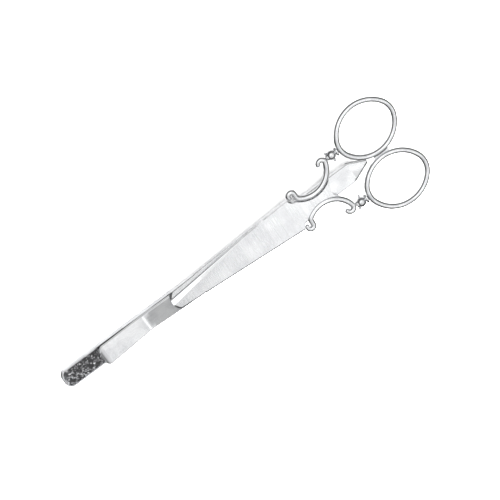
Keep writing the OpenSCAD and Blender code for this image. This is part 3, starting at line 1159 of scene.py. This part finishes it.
@dataclass
class Lever:
    """The hinged lever: a grip bar with a liner in its pocket, a crank, hinge ears and a thumb pad."""

    bar_length: float = 25.0
    bar_width: float = 3.45
    rim_top: float = -0.42
    bar_bottom: float = -1.47
    tip_corner: float = 0.95
    tip_cut: float = 1.0
    rim: float = 0.26
    pocket_end: float = 24.26
    pocket_depth: float = 0.22
    crank_end: float = 31.0
    tail_x: float = 36.5
    tail_length: float = 4.6
    tail_width: float = 1.74
    floor: float = -2.05
    sheet: float = 0.3
    pad_angle: float = 4.5
    pad_start: float = 0.8
    pad_length: float = 10.0
    pad_width: float = 2.6
    pad_thick: float = 0.25
    pad_gap: float = 0.01
    pad_flare: float = 4.0
    pad_round: float = 0.07
    ear: tuple = (0.63, 0.87)
    ear_radius: float = 0.62
    ear_foot: float = 1.6
    bore: float = 0.38
    edge_round: float = 0.06
    tip_round: float = 0.16
    tip_steps: int = 8
    tip_line: float = 0.12
    crank_shoulder: tuple = (1.2, 0.25)
    ear_sink: float = 0.1
    turned_steps: int = 48
    bore_length: float = 4.0

    def stations(self) -> list[Station]:
        """Returns: the bar's sections, from its rounded tip over the crank to the end of its tail."""
        slope = math.radians(self.pad_angle)
        tail_end = self.tail_x + self.tail_length * math.cos(slope)
        drop = self.tail_length * math.sin(slope)
        under = self.floor - self.sheet
        shoulder_reach, shoulder_drop = self.crank_shoulder
        shoulder_x = self.bar_length + shoulder_reach
        low_line = [
            (self.bar_length, self.bar_bottom), (self.crank_end, under), (self.tail_x, under),
            (tail_end, under - drop),
        ]
        top_line = [
            (self.bar_length, self.rim_top), (shoulder_x, self.rim_top - shoulder_drop),
            (self.crank_end, self.floor), (self.tail_x, self.floor), (tail_end, self.floor - drop),
        ]
        wide_line = [(self.bar_length, self.bar_width), (self.crank_end, self.tail_width)]
        tip = [self.tip_corner * i / self.tip_steps for i in range(self.tip_steps + 1)]
        rest = [self.pocket_end, self.bar_length, shoulder_x, self.crank_end, self.tail_x, tail_end]
        made = []
        for x in tip + rest:
            cut = corner_cut(x, self.tip_corner, self.tip_cut)
            low = between(x, low_line)
            made.append(Station(x, low, between(x, wide_line) - 2 * cut, between(x, top_line) - low))
        return made

    def on_tip_rim(self, point: Vector) -> bool:
        """Whether a point lies on the outer line of the bar's rounded tip."""
        cut = corner_cut(max(point.x, 0), self.tip_corner, self.tip_cut)
        outer = abs(point.y) > self.bar_width / 2 - cut - self.tip_line
        return point.x < self.tip_corner and (outer or point.x < NEAR)

    def ear_plate(self, side: int) -> bpy.types.Object:
        """One hinge ear: a disc whose lower half is drawn down and spread to a foot; side is 1 or -1."""
        x, _, z = PIVOT
        inner, outer = self.ear
        foot = z - self.floor + self.ear_sink
        disc = start(
            "ear", bpy.ops.mesh.primitive_cylinder_add, vertices=self.turned_steps,
            radius=self.ear_radius, depth=outer - inner, rotation=(math.pi / 2, 0, 0),
            location=(x, side * (inner + outer) / 2, z),
        )
        with shaping(disc):
            choose(disc, Pick.CORNERS, lambda co, n: co.z < z - NEAR)
            bpy.ops.transform.resize(value=(1, 1, 0), center_override=(x, 0, z - foot))
            bpy.ops.transform.resize(
                value=(self.ear_foot / self.ear_radius, 1, 1), center_override=(x, 0, z)
            )
        return disc

    def bar(self) -> None:
        """Draws out the bar, sinks its pocket, adds the ears and bores them for the pin."""
        bar = swept_plate("rear_grip_bar", self.stations())
        with shaping(bar):
            choose(bar, Pick.FACES, lambda co, n: n.z > 0.9 and co.x < self.pocket_end)
            bpy.ops.mesh.inset(thickness=self.rim, use_even_offset=True, use_boundary=True)
            bpy.ops.mesh.extrude_region_move(TRANSFORM_OT_translate={"value": (0, 0, -self.pocket_depth)})
        for side in (1, -1):
            join_solid(bar, self.ear_plate(side))
        bore = start(
            "bore", bpy.ops.mesh.primitive_cylinder_add, vertices=self.turned_steps,
            radius=self.bore, depth=self.bore_length, rotation=(math.pi / 2, 0, 0), location=PIVOT,
        )
        join_solid(bar, bore, "DIFFERENCE")
        bevel_edges(
            bar, self.tip_round, 3,
            lambda co, d: co.z > self.rim_top - NEAR and abs(d.z) < LEVEL and self.on_tip_rim(co),
        )
        round_edges(bar, self.edge_round, segments=2, above=25)
        dress(bar, BAR_PLATING)
        settle(bar, AXES.laid(), Body.LEVER, Slot.BAR, "rear_bar")

    def thumb_pad(self) -> None:
        """Draws out the thumb pad under the tail, with its rounded free end."""
        radius = self.pad_width / 2
        end = self.pad_length - radius
        turns = [math.radians(degrees) for degrees in range(0, 81, 10)]
        plan = [
            (0, self.tail_width), (self.pad_flare, self.pad_width),
            *((end + radius * math.sin(a), self.pad_width * math.cos(a)) for a in turns),
        ]
        stations = [Station(x, -self.pad_thick, width, self.pad_thick - self.pad_gap) for x, width in plan]
        pad = swept_plate("thumb_pad_plate", stations)
        round_edges(pad, self.pad_round, segments=3)
        under_tail = (
            Matrix.Translation((self.tail_x, 0, self.floor - self.sheet))
            @ Matrix.Rotation(math.radians(self.pad_angle), 4, "Y")
            @ Matrix.Translation((self.pad_start, 0, 0))
        )
        pad.data.transform(under_tail)
        dress(pad, BAR_PLATING)
        settle(pad, AXES.laid(), Body.LEVER, Slot.BAR, "thumb_pad")

    def build(self) -> None:
        """Makes the bar and the thumb pad."""
        self.bar()
        self.thumb_pad()


@dataclass
class GripLiner:
    """The dark embossed sheet in the bar's pocket, with wandering pebbles about 0.4 mm across."""

    begin: float = 0.28
    end: float = 23.98
    half_width: float = 1.445
    corner: float = 1.0
    top: float = -0.43
    thick: float = 0.19
    emboss: float = 0.13
    pebble: float = 0.42
    cell: float = 0.055
    worn_tip: tuple = (0.6, 1.2)
    worn_height: float = 0.2
    worn_share: float = 0.6

    def build(self) -> None:
        """Cuts the sheet to the pocket, embosses it, notes each point's height and lays it down."""
        length = self.end - self.begin
        base = self.top - self.emboss
        sheet = start(
            "embossed_grip_liner", bpy.ops.mesh.primitive_grid_add, size=1,
            x_subdivisions=round(length / self.cell), y_subdivisions=round(2 * self.half_width / self.cell),
        )
        resize_all(sheet, (length, 2 * self.half_width, 1), ((self.begin + self.end) / 2, 0, base))
        for corner in sheet.data.vertices:
            inside = min(corner.co.x - self.begin, self.corner)
            cut = self.corner - math.sqrt(max(inside * (2 * self.corner - inside), 0))
            corner.co.y *= (self.half_width - cut) / self.half_width
        pattern = bpy.data.textures.new("embossing", "DISTORTED_NOISE")
        pattern.noise_scale = self.pebble
        pattern.noise_basis = "BLENDER_ORIGINAL"
        pattern.noise_distortion = "VORONOI_F2_F1"
        pattern.distortion = 1.1
        pattern.contrast = 1.6
        apply_modifier(
            sheet, "DISPLACE", texture=pattern, texture_coords="LOCAL", direction="Z",
            strength=self.emboss, mid_level=0.0,
        )
        high = max(v.co.z for v in sheet.data.vertices)
        heights = [min(max((v.co.z - base) / (high - base), 0), 1) for v in sheet.data.vertices]
        # Near the tip the pebbles are flattened. Because the painted valley shade and pebble-top highlight follow
        # the height, the tip also turns a mottled middle grey.
        smooth_to, rough_from = self.worn_tip
        for i, corner in enumerate(sheet.data.vertices):
            wear_and_highlight = min(max((rough_from - corner.co.x) / (rough_from - smooth_to), 0), 1)
            heights[i] += self.worn_share * wear_and_highlight * (self.worn_height - heights[i])
            corner.co.z = base + self.emboss * heights[i]
        note = sheet.data.attributes.new("pebble_height", "FLOAT", "POINT")
        note.data.foreach_set("value", heights)
        with shaping(sheet):
            choose(sheet, Pick.FACES, lambda co, n: True)
            bpy.ops.mesh.extrude_region_move(
                TRANSFORM_OT_translate={"value": (0, 0, self.emboss - self.thick)}
            )
            bpy.ops.transform.resize(value=(1, 1, 0), center_override=(0, 0, self.top - self.thick))
        dress(sheet, PebbledSheet())
        settle(sheet, AXES.laid(), Body.LEVER, Slot.LINER, "grip_liner")


# ---- studio ----


@dataclass(frozen=True)
class Softbox:
    """A soft light that the metal mirrors.

    Attributes:
        name: the light's name.
        towards: the direction from the clip to the light.
        distance: how far off it hangs, in metres.
        size: its width and height, in metres.
        brightness: its radiance.
    """

    name: str
    towards: tuple[float, float, float]
    distance: float
    size: tuple[float, float]
    brightness: float

    def build(self) -> None:
        """Hangs the light."""
        way = Vector(self.towards).normalized()
        lean = Matrix.Rotation(math.atan2(way.x, way.z), 4, "Y")
        data = bpy.data.lights.new(self.name, "AREA")
        data.shape = "RECTANGLE"
        data.size, data.size_y = self.size
        data.energy = self.brightness * math.pi * self.size[0] * self.size[1]
        light = bpy.data.objects.new(self.name, data)
        bpy.context.scene.collection.objects.link(light)
        light.matrix_world = Matrix.Translation(way * self.distance) @ lean
        light.visible_camera = False


@dataclass
class Studio:
    """Pale floor, soft lights, a sky that darkens to the horizon so that round rods are outlined, camera."""

    towards_camera: tuple = (-0.145, 0.339, 0.930)
    camera_right: tuple = (0.788, -0.529, 0.316)
    aim: tuple = (0.003152, 0.000436)
    distance: float = 0.9
    lens: float = 372.5
    floor_size: float = 6.0
    floor_light: float = 14.0
    dome: tuple = ((0.5, 0.12), (0.7, 0.13), (0.78, 0.5), (0.85, 0.9), (1.0, 0.96))
    below: tuple = ((0.2, 1.0), (0.4, 0.0))
    beside: tuple = (0.12, 0.3)
    beside_light: float = 1.05
    card_distance: float = 0.22
    card_span: tuple = (-14.0, 1.0)
    card_side: tuple = (-28.0, -12.0)
    card_tone: float = 0.5

    def floor(self) -> None:
        """Lays the floor under the clip."""
        floor = start("studio_floor", bpy.ops.mesh.primitive_plane_add, size=self.floor_size)
        with shaping(floor):
            bpy.ops.mesh.subdivide(number_cuts=1)
        floor.data.materials.append(PaintedFloor().material())
        floor.visible_glossy = False

    def grey_card(self) -> None:
        """Hangs the grey card that the flat faces mirror, so that the plates read darker than the rods."""
        along, across = ([self.card_distance * math.tan(math.radians(a)) for a in span]
                         for span in (self.card_span, self.card_side))
        card = start("grey_card", bpy.ops.mesh.primitive_plane_add, size=1)
        with shaping(card):
            bpy.ops.transform.resize(
                value=(along[1] - along[0], across[1] - across[0], 1), center_override=(0, 0, 0)
            )
            bpy.ops.transform.translate(value=(sum(along) / 2, sum(across) / 2, self.card_distance))
            bpy.ops.mesh.inset(thickness=0.004)
        material = bpy.data.materials.new("grey_card")
        material.use_nodes = True
        tree = material.node_tree
        tree.nodes.remove(tree.nodes["Principled BSDF"])
        tone = (self.card_tone, self.card_tone, self.card_tone, 1)
        glow = add_node(tree, "ShaderNodeEmission", {"Color": tone, "Strength": 1.0})
        tree.links.new(glow.outputs["Emission"], tree.nodes["Material Output"].inputs["Surface"])
        card.data.materials.append(material)
        card.visible_camera = card.visible_diffuse = card.visible_shadow = False

    def sky_light(self) -> None:
        """Makes the world: a soft grey dome, brightest overhead."""
        world = bpy.data.worlds.new("studio_dome")
        bpy.context.scene.world = world
        world.use_nodes = True
        tree = world.node_tree
        place = add_node(tree, "ShaderNodeTexCoord")
        parts = add_node(tree, "ShaderNodeSeparateXYZ", links={"Vector": place.outputs["Generated"]})
        height = add_node(
            tree, "ShaderNodeMapRange", {"From Min": -1.0, "From Max": 1.0}, {"Value": parts.outputs["Z"]}
        )
        dome = add_node(tree, "ShaderNodeValToRGB", links={"Fac": height.outputs["Result"]})
        ramp(dome, [(stop, (v, v, v, 1)) for stop, v in self.dome])
        below = add_node(tree, "ShaderNodeValToRGB", links={"Fac": height.outputs["Result"]})
        ramp(below, [(stop, (v, v, v, 1)) for stop, v in self.below])
        beside = add_node(
            tree, "ShaderNodeMapRange",
            {"From Min": self.beside[0], "From Max": self.beside[1], "To Max": self.beside_light},
            {"Value": parts.outputs["Y"]},
        )
        side = add_node(
            tree, "ShaderNodeMath", links={0: below.outputs["Color"], 1: beside.outputs["Result"]},
            operation="MULTIPLY",
        )
        whole = add_node(
            tree, "ShaderNodeMath", links={0: dome.outputs["Color"], 1: side.outputs["Value"]},
            operation="ADD",
        )
        tree.links.new(whole.outputs["Value"], tree.nodes["Background"].inputs["Color"])

    def lights(self) -> None:
        """Hangs the softboxes, and a wide floor light that the metal doesn't mirror."""
        boxes = (
            Softbox("strip_softbox", (0.12, -0.30, 0.95), 0.36, (0.014, 0.4), 0.8),
            Softbox("bend_softbox", (0.175, -0.33, 0.915), 1.2, (0.04, 0.6), 1.2),
            Softbox("camera_side_softbox", (-0.12, 0.42, 0.88), 0.5, (0.5, 0.3), 0.5),
        )
        for box in boxes:
            box.build()
        wash = bpy.data.lights.new("floor_wash", "AREA")
        wash.shape = "DISK"
        wash.size = 1.2
        wash.energy = self.floor_light * math.pi * (wash.size / 2) ** 2 * math.pi
        lamp = bpy.data.objects.new("floor_wash", wash)
        bpy.context.scene.collection.objects.link(lamp)
        lamp.location = (0, 0, 1.0)
        lamp.visible_camera = False
        lamp.visible_glossy = False

    def camera(self) -> None:
        """Places the camera, far off with a long lens."""
        back = Vector(self.towards_camera).normalized()
        right = (Vector(self.camera_right) - back * back.dot(Vector(self.camera_right))).normalized()
        up = back.cross(right)
        data = bpy.data.cameras.new("camera")
        data.lens = self.lens
        data.sensor_width = 36.0
        camera = bpy.data.objects.new("camera", data)
        bpy.context.scene.collection.objects.link(camera)
        turn = Matrix((right, up, back)).transposed().to_4x4()
        target = right * self.aim[0] + up * self.aim[1]
        camera.matrix_world = Matrix.Translation(target + back * self.distance) @ turn
        bpy.context.scene.camera = camera

    def build(self) -> None:
        """Sets up the studio."""
        bpy.context.scene.view_settings.view_transform = "Standard"
        self.floor()
        self.grey_card()
        self.sky_light()
        self.lights()
        self.camera()


def main() -> None:
    """Builds every sub-assembly and the studio."""
    logging.basicConfig(level=logging.INFO, format="%(name)s: %(message)s")
    for assembly in (FrontStrip(), Blades(), ScrollArms(), Knops(), Bows(), Hinge(), Lever(), GripLiner()):
        assembly.build()
    Studio().build()


if __name__ == "__main__":
    main()
